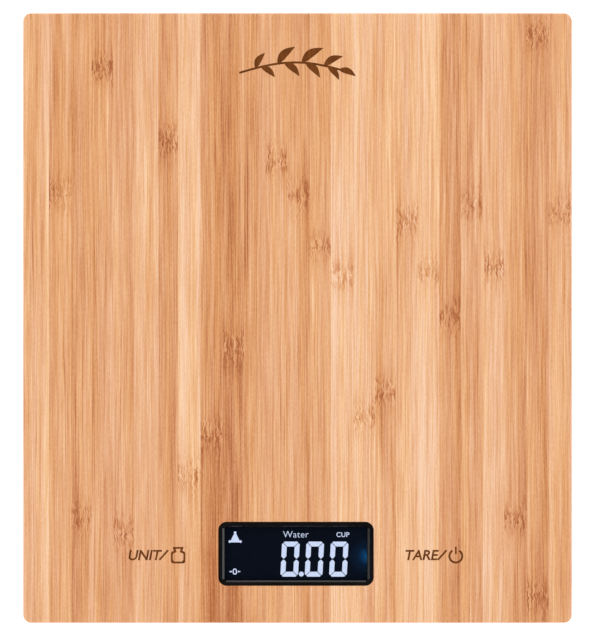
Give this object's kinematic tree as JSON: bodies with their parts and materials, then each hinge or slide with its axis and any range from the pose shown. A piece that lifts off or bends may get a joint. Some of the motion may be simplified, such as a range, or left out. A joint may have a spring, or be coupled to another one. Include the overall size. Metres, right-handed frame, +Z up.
{
  "type": "kitchen scale",
  "caption": "Slim square kitchen scale: a laminated bamboo board with a backlit display let in at the front, on a black base with four strain-gauge feet and a battery bay.",
  "frame": {"origin": "centre of the object's box, on the surface that the four feet stand on", "axes": "+Z up; the front edge, with the display, faces -Y; +X is to the right of a person reading the display"},
  "size_m": [0.18, 0.2, 0.019],
  "materials": {
    "bamboo": "satin laminated bamboo with a light oil finish",
    "black_abs": "fine spark-textured black moulding",
    "frame_plastic": "satin black moulding",
    "lens": "smoked clear acrylic window",
    "lcd_glass": "dark negative display glass",
    "lit_segment": "backlit pale blue segment",
    "light_guide": "blue-lit acrylic guide",
    "led": "blue light emitter",
    "foam": "closed-cell adhesive foam",
    "white_plastic": "natural white moulding",
    "zebra": "layered conductive silicone",
    "circuit_board": "green solder mask",
    "chip_resin": "black moulding resin",
    "component": "ceramic and tinned parts",
    "plated_steel": "nickel-plated spring steel",
    "spring_steel": "bare spring steel",
    "zinc_screw": "zinc-plated steel",
    "red_wire": "red insulated wire",
    "cell_jacket": "plain green printed jacket",
    "grey_rubber": "soft grey rubber"
  },
  "bodies": {
    "root": {"bamboo_board": "bamboo", "base_shell": "black_abs", "battery_cell_rear": "cell_jacket", "battery_cell_front": "cell_jacket", "battery_bridge_contact": "plated_steel", "battery_positive_contact": "plated_steel", "battery_negative_contact": "plated_steel", "battery_leads": "red_wire", "display_frame": "frame_plastic", "display_gasket": "foam", "display_lens": "lens", "display_segments": "lit_segment", "lcd_front_glass": "lcd_glass", "lcd_rear_glass": "lcd_glass", "light_guide": "light_guide", "backlight_led": "led", "lcd_holder": "white_plastic", "zebra_strip": "zebra", "main_board": "circuit_board", "controller_chip": "chip_resin", "converter_chip": "chip_resin", "board_components": "component", "unit_touch_spring": "plated_steel", "tare_touch_spring": "plated_steel", "load_cell_front_left": "spring_steel", "cell_bracket_front_left": "white_plastic", "gauge_wires_front_left": "red_wire", "load_cell_front_right": "spring_steel", "cell_bracket_front_right": "white_plastic", "gauge_wires_front_right": "red_wire", "load_cell_rear_left": "spring_steel", "cell_bracket_rear_left": "white_plastic", "gauge_wires_rear_left": "red_wire", "load_cell_rear_right": "spring_steel", "cell_bracket_rear_right": "white_plastic", "gauge_wires_rear_right": "red_wire", "base_screws": "zinc_screw", "bracket_screws": "zinc_screw", "display_screws": "zinc_screw"},
    "battery_door": {"battery_door": "black_abs"},
    "foot_front_left": {"foot_pad_front_left": "grey_rubber", "foot_cup_front_left": "black_abs", "gauge_tongue_front_left": "spring_steel"},
    "foot_front_right": {"foot_pad_front_right": "grey_rubber", "foot_cup_front_right": "black_abs", "gauge_tongue_front_right": "spring_steel"},
    "foot_rear_left": {"foot_pad_rear_left": "grey_rubber", "foot_cup_rear_left": "black_abs", "gauge_tongue_rear_left": "spring_steel"},
    "foot_rear_right": {"foot_pad_rear_right": "grey_rubber", "foot_cup_rear_right": "black_abs", "gauge_tongue_rear_right": "spring_steel"}
  },
  "joints": [
    {"name": "battery_door_hinge", "type": "hinge", "parent": "root", "child": "battery_door", "pos_m": [0, 0.0353, 0.002], "axis": [1, 0, 0], "range_deg": [0, 75]},
    {"name": "foot_front_left_press", "type": "slide", "parent": "root", "child": "foot_front_left", "axis": [0, 0, 1], "range_m": [0, 0.0006], "stiffness_N_per_m": 3000, "springref_m": -0.00025},
    {"name": "foot_front_right_press", "type": "slide", "parent": "root", "child": "foot_front_right", "axis": [0, 0, 1], "range_m": [0, 0.0006], "stiffness_N_per_m": 3000, "springref_m": -0.00025},
    {"name": "foot_rear_left_press", "type": "slide", "parent": "root", "child": "foot_rear_left", "axis": [0, 0, 1], "range_m": [0, 0.0006], "stiffness_N_per_m": 3000, "springref_m": -0.00025},
    {"name": "foot_rear_right_press", "type": "slide", "parent": "root", "child": "foot_rear_right", "axis": [0, 0, 1], "range_m": [0, 0.0006], "stiffness_N_per_m": 3000, "springref_m": -0.00025}
  ]
}
